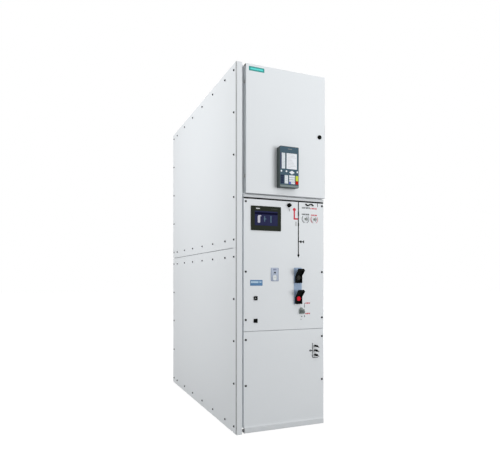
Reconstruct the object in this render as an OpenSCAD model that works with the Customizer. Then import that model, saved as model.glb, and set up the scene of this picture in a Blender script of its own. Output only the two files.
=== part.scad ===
// Medium-voltage switchgear panel: a free-standing sheet steel cabinet with a hinged low voltage door,
// an operating front with a touch panel and guarded push buttons, and a closed end wall on the left.
// Inside each module x runs from the left side, y back from the corner post's face, z up from the floor.

/* [Cabinet] */
// Width of the panel without its end wall
panel_w = 600; // [560:5:800]
// Thickness of the end wall on the left side
end_wall = 50; // [45:1:70]
// Depth from the corner post's face to the back
depth = 1625; // [1300:5:1800]
// Height above the floor
height = 2350; // [2300:5:2500]
// Thickness of the sheet steel
sheet = 2; // [1.5:0.25:2.5]
// Outer radius of the folds in the sheet
bend_r = 3; // [2.5:0.25:4]
// Depth of the folded edges of covers
fold = 18; // [16:1:24]
// Width of the inner lips behind the front covers
lip = 20; // [16:1:24]
// Open joint between neighbouring covers
joint = 3; // [2:0.5:5]
// Height of the joint between lower and upper covers on the sides and back
storey_z = 1179; // [900:1:1400]
// Clearance between a cover and what it seats on
seat = 0.3; // [0.2:0.05:0.5]
// Height of the inner rails that back the joints between covers
joint_rail_h = 130; // [100:5:200]

/* [Base] */
// Height of the base rails
base_h = 32; // [28:1:60]
// Width of the base rails
base_rail_w = 60; // [50:1:80]
// Wall of the base rails and of the floor plate
base_wall = 3; // [2.5:0.5:4]
// Depth of the front base rail
base_front_w = 80; // [70:1:100]
// How far the front base rail stands out in front of the covers
base_ledge = 8; // [4:1:12]
// How far the ends of the front base rail stand back from the covers' edges
base_inset = 3; // [2:0.5:4]
// Height of the side and rear covers' lower edge above the floor
cover_clear = 5; // [3:1:10]
// Diameter of the floor anchor holes
anchor_d = 14; // [11:0.5:18]
// Distance of the anchor holes from the ends of the side rails
anchor_inset = 90; // [60:5:200]

/* [Corner post] */
// Width of the corner post's face, measured from the side
post_w = 41; // [36:1:44]
// Depth of the corner post
post_d = 58; // [50:1:66]
// Radius of the corner post's front edges
post_r = 4; // [2:0.5:6]
// Width of the flanges that carry the front covers
flange_w = 49; // [45:1:60]

/* [Front covers] */
// How far the front covers stand back behind the corner post
front_setback = 18; // [14:1:24]
// Gap between the corner post and the front covers
post_gap = 17; // [12:1:24]
// Height of the operating panel's upper edge
panel_top = 1497; // [1480:1:1520]
// Height of the joint between the operating panel and the lower cover
cover_top = 645; // [560:1:670]
// Open joint between the operating panel and the lower cover
cover_joint = 2; // [1.5:0.5:4]
// Height of the rail between the operating panel and the door
rail_h = 18; // [12:1:24]
// Gap between the rail and the operating panel
rail_gap = 7; // [6:1:14]

/* [Low voltage compartment] */
// Depth of the compartment behind the door
lv_depth = 420; // [300:5:600]
// Height of the sill above the rail, inside the door
sill_h = 22; // [16:1:30]
// Gap between the corner post and the door
door_gap = 25; // [24:1:30]
// Depth of the door's folded edges
door_d = 28; // [24:1:30]
// Clearance between the door and the rail under it
door_clear = 6; // [5:1:10]
// Distance of the hinge axis from the door's edge
hinge_x = 6; // [6:0.5:8]
// Distance of the hinge axis behind the door's face
hinge_y = 18; // [16:0.5:18]
// Diameter of the hinge pins
hinge_pin_d = 8; // [6:0.5:8]
// Distance of the hinges from the door's upper and lower edges
hinge_inset = 110; // [60:5:200]
// Radial clearance of the hinge pins
pin_clear = 0.2; // [0.1:0.05:0.4]
// Distance of the lock from the left side
lock_x = 605; // [560:1:620]
// Height of the lock
lock_z = 1938; // [1850:1:2200]
// Diameter of the lock's rim
lock_d = 28; // [20:1:34]
// Thickness of the lock's rim
lock_t = 5; // [3:0.5:8]
// Width of the lock's rim
lock_rim = 4; // [3:0.5:5]

/* [Protection relay] */
// Width of the relay's front
relay_w = 140; // [138:1:180]
// Height of the relay's front
relay_h = 266; // [250:1:280]
// Distance of the relay from the left side
relay_x = 282; // [200:1:380]
// Height of the relay's lower edge
relay_z = 1572; // [1560:1:1650]
// How far the relay stands out of the door
relay_proud = 45; // [44:1:60]
// Radius of the relay's corners
relay_r = 8; // [6:1:12]
// Thickness of the bezel in front of the relay's housing
bezel_t = 12; // [8:1:20]
// How far the housing is drawn in behind its bezel
bezel_step = 2; // [1:0.5:4]
// Radius of the bezel's front edges
bezel_edge = 2.5; // [1:0.5:4]
// Depth of the relay's case behind the door
relay_case_d = 150; // [100:5:220]
// Width of the relay's display
display_w = 76; // [60:1:76]
// Height of the relay's display
display_h = 102; // [60:1:104]
// Distance of the display's middle from the relay's left edge
display_x = 88; // [86:1:90]
// Distance of the display's middle from the relay's lower edge
display_z = 171; // [168:1:176]
// Depth of the display's recess
display_recess = 2; // [1.6:0.1:3]
// Thickness of the display's pane
display_t = 1.5; // [1:0.1:1.5]
// Width of the label strip beside the signal lamps
lamp_strip_w = 25; // [18:1:28]
// Distance of that strip's middle from the relay's left edge
lamp_strip_x = 27.5; // [24:0.5:30]
// Width of the label strip beside the function keys
function_strip_w = 25; // [18:1:27]
// Distance of that strip's middle from the relay's left edge
function_strip_x = 48.5; // [48:0.5:50]
// Depth of the recesses for the label strips
strip_recess = 0.8; // [0.5:0.1:1.2]
// Height of the relay's keys above its face
key_h = 2; // [1:0.5:3]
// Side of the number keys
key_w = 11; // [9:0.5:12]
// Distance between number keys sideways
key_pitch_x = 14; // [13:0.5:15]
// Distance between number keys upwards
key_pitch_z = 14.3; // [13:0.1:16]
// Distance of the first number key's middle from the relay's left edge
key_x = 74.5; // [73:0.5:76]
// Distance of the lowest number key's middle from the relay's lower edge
key_z = 30.5; // [26:0.5:32]
// Width of the function keys
function_key_w = 22; // [16:1:24]
// Distance of the function keys' middle from the relay's left edge
function_key_x = 18.5; // [17:0.5:20]
// Diameter of the round keys
round_key_d = 12; // [9:0.5:13]
// Distance of the round keys' middles from the relay's lower edge
round_key_z = 103.5; // [100:0.5:105]
// Width of the arrow pad
arrow_pad_w = 40; // [30:1:44]
// Height of the arrow pad
arrow_pad_h = 25; // [18:1:26]
// Distance of the arrow pad's middle from the relay's lower edge
arrow_pad_z = 98; // [96:1:100]
// Width of the two command keys
command_w = 19; // [14:1:19]
// Distance of the command keys' middle from the relay's left edge
command_x = 125; // [123:0.5:126]
// Height of the ON command key
command_on_h = 33; // [24:1:34]
// Height of the OFF command key
command_off_h = 21; // [16:1:22]

/* [Touch panel] */
// Width of the touch panel's frame
touch_w = 214; // [180:1:230]
// Height of the touch panel's frame
touch_h = 158; // [120:1:180]
// Distance of the touch panel's centre from the left side
touch_x = 215; // [200:1:230]
// Height of the touch panel's centre
touch_z = 1373; // [1250:1:1385]
// How far the frame stands out of the operating panel
touch_proud = 6; // [4:0.5:10]
// Radius of the frame's corners
touch_r = 5; // [3:0.5:8]
// Radius of the frame's front edges
touch_edge = 2; // [1:0.5:3]
// Depth of the touch panel's case behind the operating panel
touch_case_d = 50; // [30:1:70]
// Width of the screen
screen_w = 164; // [140:1:170]
// Height of the screen
screen_h = 94; // [80:1:110]
// Depth of the screen's recess in the frame
screen_recess = 1.5; // [1.2:0.1:2]
// Thickness of the screen's pane
screen_t = 1; // [0.6:0.1:1.1]

/* [Operating controls] */
// Distance of the selector from the left side
selector_x = 383; // [350:1:400]
// Height of the selector
selector_z = 1468; // [1455:1:1470]
// Side of the selector's square grip
selector_w = 22; // [18:1:26]
// How far the selector stands out of the operating panel
selector_proud = 20; // [16:1:26]
// Width of the rib across the selector's grip
selector_rib_w = 7; // [5:0.5:9]
// Height of that rib
selector_rib_h = 5; // [3:0.5:7]
// Height of the selector's collar
collar_t = 4; // [3:0.5:6]
// Distance of the gate lever's middle from the left side
gate_x = 537; // [530:1:550]
// Height of the gate lever's middle
gate_z = 1480; // [1474:1:1482]
// Distance between the bows of the gate lever
gate_bow = 24; // [20:1:28]
// Height of the bows' centres above the gate lever's middle
gate_rise = 14.5; // [12:0.5:18]
// Width of the gate lever's strip
gate_strip = 7; // [6:0.5:9]
// Thickness of the gate lever
gate_t = 6; // [4:0.5:8]
// Distance of the left shaft cover from the left side
shaft_left_x = 508; // [500:1:516]
// Distance of the right shaft cover from the left side
shaft_right_x = 576; // [570:1:590]
// Height of the shaft covers
shaft_z = 1384; // [1340:1:1400]
// Diameter of the shaft covers
shaft_d = 46; // [36:1:50]
// Height of the shaft covers' rims
shaft_t = 4; // [3:0.5:6]
// Width of the shaft covers' rims
shaft_rim = 4; // [3:0.5:6]
// Diameter of the stud on a shaft cover's shutter
shaft_stud_d = 12; // [8:1:16]
// Distance of the drive plate's middle from the left side
drive_x = 278; // [240:1:340]
// Height of the drive plate's middle
drive_z = 1011; // [960:1:1100]
// Width of the drive plate
drive_w = 56; // [44:1:70]
// Height of the drive plate
drive_h = 88; // [84:1:110]
// Thickness of the drive plate
drive_t = 2; // [1.5:0.5:3]
// Width of the drive plate's indicator window
window_w = 28; // [20:1:34]
// Height of the indicator window
window_h = 34; // [24:1:36]
// Width of the rim round the indicator window
window_rim = 4; // [3:0.5:6]
// How far that rim stands out of the drive plate
window_proud = 3; // [2:0.5:5]
// Diameter of the drive plate's crank opening
crank_d = 12; // [8:0.5:14]
// Distance of the latches from the left side
latch_x = 141; // [120:1:170]
// Height of the upper latch
latch_upper_z = 858; // [800:1:900]
// Height of the lower latch above the operating panel's lower edge
latch_rise = 68; // [50:1:90]
// Side of the latches' square rims
latch_w = 26; // [22:1:32]
// Height of the latches' rims
latch_t = 5; // [4:0.5:7]
// Width of the latches' rims
latch_rim = 3; // [2:0.5:4]
// Width of the key slot in a latch's insert
latch_slot = 3; // [2:0.5:4]
// Distance of the key interlock from the left side
interlock_x = 479; // [440:1:520]
// Height of the key interlock above the operating panel's lower edge
interlock_rise = 119; // [90:1:125]
// Width of the key interlock's plate
interlock_w = 42; // [34:1:48]
// Height of the key interlock's plate
interlock_h = 32; // [28:1:36]
// Thickness of that plate
interlock_t = 4; // [3:0.5:6]
// Diameter of the lock barrel
barrel_d = 20; // [16:0.5:24]
// How far the lock barrel stands out of the operating panel
barrel_l = 22; // [16:1:26]
// Diameter of the key's bow
bow_d = 24; // [18:1:28]
// Thickness of the key's bow
bow_t = 3; // [2:0.5:4]

/* [Push buttons] */
// Distance of the push buttons from the left side
button_x = 449; // [440:1:460]
// Height of the ON unit's lower edge above the lower cover's joint
on_rise = 310; // [300:1:320]
// Height of the OFF unit's lower edge above the lower cover's joint
off_rise = 171; // [165:1:180]
// Width of the plate behind the units
plate_w = 57; // [50:1:60]
// Thickness of that plate
plate_t = 3; // [2:0.5:4]
// Width of a unit's guard
guard_w = 44; // [42:1:50]
// Wall of a unit's guard
guard_wall = 4; // [3:0.5:5]
// Depth of the guard round the button
guard_d = 20; // [18:1:24]
// Height of the guard's upright front edge
guard_leg = 48; // [46:1:52]
// Height at which the guard's back starts to lean out
guard_back = 41; // [38:1:44]
// Height of the guard's leaning hood
guard_hood = 46; // [36:1:50]
// How far the hood leans out beyond the guard's upright front edge
guard_lean = 36; // [24:1:38]
// Width of the hood's cut tip
guard_tip = 12; // [8:1:16]
// Diameter of the buttons
button_d = 30; // [24:1:32]
// Height of the buttons' middles above their guards' lower edges
button_rise = 35; // [32:0.5:35]
// Thickness of the buttons' caps
cap_t = 8; // [6:0.5:9]
// Height of the dome on the buttons' caps
cap_dome = 2.5; // [1:0.5:4]
// Travel of the buttons
button_travel = 5; // [3:0.5:6]
// Radial clearance of the buttons and their stems
button_clear = 0.5; // [0.3:0.1:0.8]

/* [Test sockets] */
// Distance of the test sockets from the left side
test_x = 582; // [560:1:610]
// Height of the lowest test socket
test_z = 469; // [430:1:500]
// Distance between test sockets
test_pitch = 30.5; // [28:0.5:36]
// Diameter of a test socket's plug
test_d = 11; // [8:0.5:14]
// Length of a test socket's plug
test_l = 30; // [24:1:36]
// Width of the rim round a test socket
test_rim = 3; // [2:0.5:5]
// Length of the pull tab on a test socket's plug
test_tab_l = 16; // [12:1:20]
// Width of that pull tab
test_tab_w = 7; // [5:0.5:8]
// Angle at which the pull tab hangs down
test_tab_tilt = 30; // [15:5:45]

/* [Hidden] */
$fn = 48;
width = panel_w + end_wall;
front_y = (relay_proud + key_h - depth) / 2;
frame_y = front_setback + fold;
frame_back = frame_y + sheet;
inner_x0 = sheet + seat;
inner_x1 = width - sheet - seat;
rear_y = depth - fold - seat;
cover_x = post_w + post_gap;
cover_w = width - cover_x;
rail_z = panel_top + rail_gap;
door_x = post_w + door_gap;
door_w = width - door_x;
door_z = rail_z + rail_h + door_clear;
door_h = height - door_z;
hinge_axis_x = door_x + hinge_x;
lv_x0 = post_w + flange_w;
lv_x1 = inner_x1 - flange_w;
lv_z = rail_z + rail_h + door_clear;
lv_back_y = frame_back + lv_depth;
base_x0 = cover_x + base_inset;
base_l = inner_x1 - base_inset - base_x0;
base_y0 = front_setback - base_ledge;
base_y1 = base_y0 + base_front_w;
cover_bottom = base_h + seat;
latch_lower_z = cover_top + latch_rise;
interlock_z = cover_top + interlock_rise;
on_z = cover_top + on_rise;
off_z = cover_top + off_rise;
on_mid_z = on_z + button_rise;
off_mid_z = off_z + button_rise;
plate_y = front_setback - plate_t;
plate_margin = 8;
plate_h = on_z + guard_leg + guard_hood + plate_margin - off_z;
button_gap = 1;
number_keys_h = 3 * key_pitch_z + key_w;
number_keys_z = key_z + 1.5 * key_pitch_z;
cap_y = -button_travel - button_gap - cap_t;
arm_t = 6;
arm_w = 12;
lug_gap = 2;
stem_d = 10;
cut_margin = 8;
moulded_r = 3;
soft_edge = 1.5;
eps = 1;
paint = "gainsboro";
liner = "whitesmoke";
black = "#1b1c1e";
slate = "#3c4650";

// Moves from the cabinet's own corner to the part's frame, centred on the floor
module place(x, y, z) translate([x - width / 2, y + front_y, z]) children();

// Lays an outline, drawn as height and depth, along the width of a piece that starts at x = 0
module along_width(w) translate([w, 0, 0]) rotate([0, -90, 0]) linear_extrude(w) children();

// Turns an upright piece so that it faces the front, its axis pointing back
module facing_front() rotate([-90, 0, 0]) children();

// Rectangle whose front edge lies on y = 0, with its two front corners rounded
module front_rounded(w, d, r0, r1) {
    difference() {
        square([w, d]);
        square([r0, r0]);
        translate([w - r1, 0]) square([r1, r1]);
    }
    translate([r0, r0]) circle(r0);
    translate([w - r1, r1]) circle(r1);
}

// Rectangle with four rounded corners, centred
module rounded_plate(w, h, r) {
    square([w - 2 * r, h], center = true);
    square([w, h - 2 * r], center = true);
    for (x = [-1, 1], y = [-1, 1])
        translate([x * (w / 2 - r), y * (h / 2 - r)]) circle(r);
}

// Plate standing on a front face: centred in x and z, from y = 0 forwards by t
module front_plate(w, h, t, r) rotate([90, 0, 0]) linear_extrude(t) rounded_plate(w, h, r);

// Moulded block on a front face: as front_plate, with its front edges rounded over
module soft_block(w, h, t, r, edge) intersection() {
    front_plate(w, h, t, r);
    translate([-w / 2, -t, -h / 2]) linear_extrude(h) front_rounded(w, t + eps, edge, edge);
    translate([-w / 2, -t, -h / 2]) along_width(w) front_rounded(h, t + eps, edge, edge);
}

// Folded cover: its face on y = 0, rounded folds on all four edges, lips turned in at the back
module folded_cover(w, h, d, lip_w) {
    difference() {
        intersection() {
            linear_extrude(h) front_rounded(w, d, bend_r, bend_r);
            along_width(w) front_rounded(h, d, bend_r, bend_r);
        }
        translate([sheet, sheet, sheet])
            cube([w - 2 * sheet, d - sheet - (lip_w > 0 ? sheet : -eps), h - 2 * sheet]);
        if (lip_w > 0)
            translate([lip_w, d / 2, lip_w]) cube([w - 2 * lip_w, d, h - 2 * lip_w]);
    }
}

// C-shaped base rail along y, its back on x = 0 and open towards +x
module base_rail(l) rotate([90, 0, 0]) translate([0, 0, -l]) linear_extrude(l) difference() {
    square([base_rail_w, base_h]);
    translate([base_wall, base_wall]) square([base_rail_w, base_h - 2 * base_wall]);
}

// Side rail with its two anchor holes through the lower flange
module side_rail() difference() {
    base_rail(rear_y - base_y1);
    for (y = [anchor_inset, rear_y - base_y1 - anchor_inset])
        translate([base_rail_w / 2, y, -eps]) cylinder(d = anchor_d, h = base_wall + 2 * eps);
}

module base_rail_left() color(paint) place(inner_x0, base_y1, 0) side_rail();

module base_rail_right() color(paint)
    place(inner_x1, base_y1, 0) mirror([1, 0, 0]) side_rail();

// Front base rail: a folded plinth, open to the back, whose upper edge shows as a ledge under the covers
module base_rail_front() color(paint) place(base_x0, base_y0, 0) difference() {
    along_width(base_l) front_rounded(base_h, base_front_w, bend_r, bend_r);
    translate([-eps, base_wall, base_wall])
        cube([base_l + 2 * eps, base_front_w, base_h - 2 * base_wall]);
}

module base_rail_rear() color(paint)
    place(inner_x0 + base_rail_w + seat, rear_y, 0)
        rotate([0, 0, -90]) base_rail(inner_x1 - inner_x0 - 2 * base_rail_w - 2 * seat);

module floor_plate() color(paint)
    place(inner_x0, base_y1, base_h) cube([inner_x1 - inner_x0, rear_y - base_y1, base_wall]);

// Folded corner post with its flange for the front covers
module end_post() color(paint) {
    place(inner_x0, 0, 0) linear_extrude(height) difference() {
        front_rounded(post_w - inner_x0, post_d, post_r, post_r);
        translate([sheet, sheet]) square([post_w - inner_x0 - 2 * sheet, post_d]);
    }
    place(post_w - sheet, frame_y, base_h) cube([flange_w + sheet, sheet, height - fold - base_h]);
    place(inner_x0, sheet, height - sheet) cube([post_w - inner_x0 - sheet, post_d - sheet, sheet]);
}

// Angle on the right that carries the front covers
module front_post_right() color(paint) {
    place(lv_x1, frame_y, base_h) cube([flange_w, sheet, height - fold - base_h]);
    place(inner_x1 - sheet, frame_y, base_h) cube([sheet, base_y1 - frame_y - seat, height - fold - base_h]);
}

// Sheet with one edge folded in: face on y = 0, the fold at x = h
module folded_edge(h) difference() {
    front_rounded(h, fold, seat, bend_r);
    translate([-eps, sheet]) square([h - sheet + eps, fold]);
}

// Left side sheet from y0 to the back with its fold at the upper end
module side_sheet(y0, h, post_room) difference() {
    translate([0, y0, 0]) rotate([-90, -90, 0]) linear_extrude(depth - y0) folded_edge(h);
    translate([sheet, -eps, -eps]) cube([fold, post_room + eps, h + 2 * eps]);
    translate([sheet, rear_y - seat, -eps]) cube([fold, fold + 2 * eps, h + 2 * eps]);
}

module side_lower(y0, post_room)
    translate([0, 0, cover_clear]) side_sheet(y0, storey_z - joint / 2 - cover_clear, post_room);

module side_upper(y0, post_room)
    translate([0, 0, height]) mirror([0, 0, 1]) side_sheet(y0, height - storey_z - joint / 2, post_room);

module side_panel_left_lower() color(paint) place(0, 0, 0) side_lower(sheet / 2, post_d + seat);

module side_panel_left_upper() color(paint) place(0, 0, 0) side_upper(sheet / 2, post_d + seat);

module side_panel_right_lower() color(paint)
    mirror([1, 0, 0]) place(0, 0, 0) side_lower(frame_y + seat, base_y1 + seat);

module side_panel_right_upper() color(paint)
    mirror([1, 0, 0]) place(0, 0, 0) side_upper(frame_y + seat, base_y1 + seat);

// Rear cover between the side sheets, from z0 to z1
module rear_cover(z0, z1) color(paint)
    place(inner_x1, depth, z0) rotate([0, 0, 180]) folded_cover(inner_x1 - inner_x0, z1 - z0, fold, 0);

module rear_panel_lower() rear_cover(cover_clear, storey_z - joint / 2);

module rear_panel_upper() rear_cover(storey_z + joint / 2, height);

module roof_panel() color(paint) difference() {
    place(inner_x0, frame_y, height) rotate([-90, 0, 0])
        folded_cover(inner_x1 - inner_x0, rear_y - frame_y, fold, 0);
    place(-eps, 0, height - fold - eps) cube([post_w + seat + eps, post_d + seat, fold + 2 * eps]);
}

// Inner rails behind the joints: one along each side, one across the back, one across the front
module joint_rails() color(paint) {
    side_l = rear_y - base_y1 - 3 * fold;
    for (x = [fold + seat, width - fold - seat - sheet])
        place(x, base_y1 + fold, storey_z - joint_rail_h / 2) cube([sheet, side_l, joint_rail_h]);
    place(2 * fold, rear_y - sheet, storey_z - joint_rail_h / 2)
        cube([width - 4 * fold, sheet, joint_rail_h]);
    place(lv_x0 + seat, frame_y, cover_top - joint_rail_h / 4)
        cube([lv_x1 - lv_x0 - 2 * seat, sheet, joint_rail_h / 2]);
}

// Sheets that line the compartment behind the door
module lv_floor() color(liner)
    place(lv_x0 - sheet, frame_back, lv_z) cube([lv_x1 - lv_x0 + 2 * sheet, lv_depth, sheet]);

module lv_back() color(liner)
    place(lv_x0 - sheet, lv_back_y, lv_z)
        cube([lv_x1 - lv_x0 + 2 * sheet, sheet, height - sheet - lv_z]);

module lv_wall(x) color(liner)
    place(x, frame_back, lv_z + sheet) cube([sheet, lv_depth, height - 2 * sheet - lv_z]);

module lv_wall_left() lv_wall(lv_x0 - sheet);

module lv_wall_right() lv_wall(lv_x1);

// Rail under the door with the sill that closes the compartment's front edge
module mid_rail() color(paint) {
    place(cover_x, front_setback, rail_z) folded_cover(cover_w, rail_h, fold, 0);
    place(lv_x0, frame_y, rail_z) cube([lv_x1 - lv_x0, sheet, rail_h + sill_h]);
}

// Opening through a cover's face, centred on x and z
module face_cut(x, y, z, w, h) place(x - w / 2, y - eps, z - h / 2) cube([w, sheet + 2 * eps, h]);

module round_face_cut(x, y, z, d) place(x, y - eps, z) facing_front() cylinder(d = d, h = sheet + 2 * eps);

module operating_panel() color(paint) difference() {
    place(cover_x, front_setback, cover_top + cover_joint / 2)
        folded_cover(cover_w, panel_top - cover_top - cover_joint / 2, fold, lip);
    face_cut(touch_x, front_setback, touch_z, touch_w - 2 * cut_margin, touch_h - 2 * cut_margin);
    for (z = [on_mid_z, off_mid_z])
        round_face_cut(button_x, front_setback, z, stem_d + 2 * button_clear);
    round_face_cut(selector_x, front_setback, selector_z, stem_d + 2 * button_clear);
}

module lower_cover() color(paint)
    place(cover_x, front_setback, cover_bottom)
        folded_cover(cover_w, cover_top - cover_joint / 2 - cover_bottom, fold, lip);

// Touch panel: a moulded frame in front of the cover, its case behind, a recess for the screen
module touch_panel() color(black) place(touch_x, front_setback, touch_z) difference() {
    union() {
        soft_block(touch_w, touch_h, touch_proud, touch_r, touch_edge);
        translate([0, touch_case_d, 0]) front_plate(
            touch_w - 2 * cut_margin - 2 * seat, touch_h - 2 * cut_margin - 2 * seat, touch_case_d, moulded_r
        );
    }
    translate([0, screen_recess - touch_proud, 0]) front_plate(screen_w, screen_h, touch_proud, screen_t);
}

module touch_screen() color("midnightblue")
    place(touch_x, front_setback - touch_proud + screen_recess, touch_z)
        front_plate(screen_w - 2 * seat, screen_h - 2 * seat, screen_t, screen_t);

module selector_base() color(black)
    place(selector_x, front_setback - collar_t, selector_z) facing_front() difference() {
        cylinder(d = selector_w + collar_t, h = collar_t);
        translate([0, 0, -eps]) cylinder(d = stem_d + 2 * button_clear, h = collar_t + 2 * eps);
    }

// Square grip turned onto its corner, a rib across its face and its stem through the cover
module selector_knob() color(black) {
    grip_y = front_setback - collar_t - button_clear;
    grip_t = selector_proud - collar_t - button_clear - selector_rib_h;
    place(selector_x, grip_y, selector_z) {
        rotate([0, 45, 0]) soft_block(selector_w, selector_w, grip_t, moulded_r, soft_edge);
        soft_block(selector_rib_w, selector_w, grip_t + selector_rib_h, moulded_r, soft_edge);
        facing_front() translate([0, 0, -eps])
            cylinder(d = stem_d, h = collar_t + button_clear + eps + fold / 2);
    }
}

// Half of the gate lever's wave: the lower bow of a ring that passes through the middle, with a round end
module gate_half() {
    ring_r = sqrt(pow(gate_bow / 2, 2) + pow(gate_rise, 2));
    end_x = -gate_bow / 2 - sqrt(pow(ring_r, 2) - pow(gate_rise - gate_strip / 2, 2));
    difference() {
        translate([-gate_bow / 2, gate_rise]) circle(ring_r + gate_strip / 2);
        translate([-gate_bow / 2, gate_rise]) circle(ring_r - gate_strip / 2);
        translate([-3 * gate_bow, gate_strip / 2]) square(4 * gate_bow);
        rotate(atan2(gate_bow / 2, gate_rise)) translate([0, -2 * gate_bow]) square(4 * gate_bow);
    }
    translate([end_x, gate_strip / 2]) circle(gate_strip / 2);
}

// Black lever of the operating gate, bent to a wave
module gate_lever() color(black) place(gate_x, front_setback, gate_z)
    rotate([90, 0, 0]) linear_extrude(gate_t) for (turn = [0, 180]) rotate(turn) gate_half();

// Round cover over an operating shaft: a rim round a flat shutter with its stud
module shaft_cover(x) color(paint) place(x, front_setback - shaft_t, shaft_z) facing_front() {
    difference() {
        cylinder(d = shaft_d, h = shaft_t);
        translate([0, 0, -eps]) cylinder(d = shaft_d - 2 * shaft_rim, h = shaft_t / 2 + eps);
    }
    cylinder(d = shaft_stud_d, h = shaft_t);
}

module shaft_cover_left() shaft_cover(shaft_left_x);

module shaft_cover_right() shaft_cover(shaft_right_x);

// Plate of the spring drive: a crank opening above, a raised rim round the indicator window below
module drive_plate() color("lightsteelblue") place(drive_x, front_setback, drive_z) {
    window_z = window_h / 2 + window_rim + drive_t - drive_h / 2;
    crank_z = window_z + window_h / 2 + window_rim + crank_d;
    difference() {
        union() {
            front_plate(drive_w, drive_h, drive_t, moulded_r);
            translate([0, -drive_t, window_z]) soft_block(
                window_w + 2 * window_rim, window_h + 2 * window_rim, window_proud, window_w / 2, soft_edge
            );
            translate([0, 0, crank_z]) facing_front() translate([0, 0, -drive_t - window_proud / 2])
                cylinder(d = crank_d + 2 * window_rim, h = drive_t + window_proud / 2);
        }
        translate([0, -drive_t, window_z]) front_plate(window_w, window_h, window_proud + eps, window_w / 3);
        translate([0, 0, crank_z]) facing_front() translate([0, 0, -drive_t - window_proud])
            cylinder(d = crank_d, h = drive_t / 2 + window_proud);
    }
}

// Quarter-turn latch: a square moulded rim with a round insert and its key slot
module panel_latch(z) color(black) place(latch_x, front_setback, z) difference() {
    insert_d = latch_w - 4 * latch_rim;
    union() {
        difference() {
            soft_block(latch_w, latch_w, latch_t, moulded_r, soft_edge);
            translate([0, -latch_t / 2, 0])
                front_plate(latch_w - 2 * latch_rim, latch_w - 2 * latch_rim, latch_t, latch_rim / 2);
        }
        facing_front() translate([0, 0, soft_edge - latch_t]) cylinder(d = insert_d, h = latch_t - soft_edge);
    }
    translate([0, -latch_t / 2, 0]) front_plate(latch_slot, insert_d - latch_rim, latch_t, latch_slot / 3);
}

module panel_latch_upper() panel_latch(latch_upper_z);

module panel_latch_lower() panel_latch(latch_lower_z);

// Key interlock: a cast plate, a lock barrel and the pierced bow of its key
module key_interlock() color("gray") place(interlock_x, front_setback, interlock_z) {
    soft_block(interlock_w, interlock_h, interlock_t, moulded_r, soft_edge);
    facing_front() translate([0, 0, -barrel_l]) cylinder(d = barrel_d, h = barrel_l - interlock_t / 2);
    translate([-bow_t / 2, -barrel_l - bow_d / 3, 0]) rotate([0, 90, 0]) difference() {
        cylinder(d = bow_d, h = bow_t);
        translate([0, -bow_d / 5, -eps]) cylinder(d = bow_d / 3, h = bow_t + 2 * eps);
    }
}

module button_plate() color("lightsteelblue") difference() {
    place(button_x, front_setback, off_z + plate_h / 2) front_plate(plate_w, plate_h, plate_t, moulded_r);
    for (z = [on_mid_z, off_mid_z])
        place(button_x, plate_y - eps, z) facing_front()
            cylinder(d = stem_d + 2 * button_clear, h = plate_t + 2 * eps);
}

// Side outline of a guard, height along x and depth along y: upright below, leaning out above, its tip cut
module guard_outline() polygon([
    [0, 0],
    [0, -guard_d],
    [guard_leg, -guard_d],
    [guard_leg + guard_hood - guard_tip, -guard_d - guard_lean],
    [guard_leg + guard_hood, -guard_d - guard_lean + guard_tip],
    [guard_back, 0]
]);

// Room inside a guard: one wall inside its back, floor and tip, and open through its front
module guard_room() {
    back_slope = (guard_d + guard_lean - guard_tip) / (guard_leg + guard_hood - guard_back);
    back_wall = guard_wall * sqrt(1 + pow(back_slope, 2));
    back_h = guard_back - (back_wall - guard_wall) / back_slope;
    front_slope = guard_lean / (guard_hood - guard_tip);
    tip_sum = guard_leg + guard_hood + guard_d + guard_lean - guard_tip - guard_wall * sqrt(2);
    front_h = (tip_sum - guard_d - eps + front_slope * guard_leg) / (1 + front_slope);
    end_h = (tip_sum - back_wall + back_slope * guard_back) / (1 + back_slope);
    polygon([
        [guard_wall, -guard_wall],
        [guard_wall, -guard_d - eps],
        [guard_leg, -guard_d - eps],
        [front_h, front_h - tip_sum],
        [end_h, end_h - tip_sum],
        [back_h, -guard_wall]
    ]);
}

// Guard of a push button: a moulded shell, open to the front, that leans out as a hood above the button
module button_guard(z) color(black) difference() {
    place(button_x - guard_w / 2, plate_y, z) along_width(guard_w) guard_outline();
    place(button_x - guard_w / 2 + guard_wall, plate_y, z) along_width(guard_w - 2 * guard_wall) guard_room();
    place(button_x, plate_y - guard_d, z + button_rise) facing_front()
        cylinder(d = button_d + 2 * button_clear, h = guard_d + eps);
}

module on_button_guard() button_guard(on_z);

module off_button_guard() button_guard(off_z);

// Push button: a domed cap on a stem that runs through the plate and the cover
module push_button(z) place(button_x, plate_y, z) facing_front() {
    dome_r = (pow(button_d / 2, 2) + pow(cap_dome, 2)) / (2 * cap_dome);
    intersection() {
        translate([0, 0, cap_y]) cylinder(d = button_d, h = cap_t);
        translate([0, 0, cap_y + dome_r]) sphere(dome_r);
    }
    translate([0, 0, -button_travel - button_gap - eps])
        cylinder(d = stem_d, h = button_travel + button_gap + eps + plate_t + fold / 2);
}

module on_button() color(black) push_button(on_mid_z);

module off_button() color("crimson") push_button(off_mid_z);

// Voltage test sockets with their plugs, one over the other, each with a pull tab that hangs to the right
module test_sockets() color(black) for (i = [0:2])
    place(test_x, front_setback, test_z + i * test_pitch) {
        facing_front() {
            translate([0, 0, -test_rim]) cylinder(d = test_d + 2 * test_rim, h = test_rim);
            translate([0, 0, -test_l]) cylinder(d = test_d, h = test_l - eps);
            translate([0, 0, -2 * test_l / 3]) cylinder(d = test_d + test_rim / 2, h = test_rim);
        }
        translate([0, 2 * test_rim - test_l, 0]) rotate([0, test_tab_tilt, 0])
            translate([test_tab_l / 2, 0, 0]) front_plate(test_tab_l, test_tab_w, test_rim, test_tab_w / 3);
    }

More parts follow.
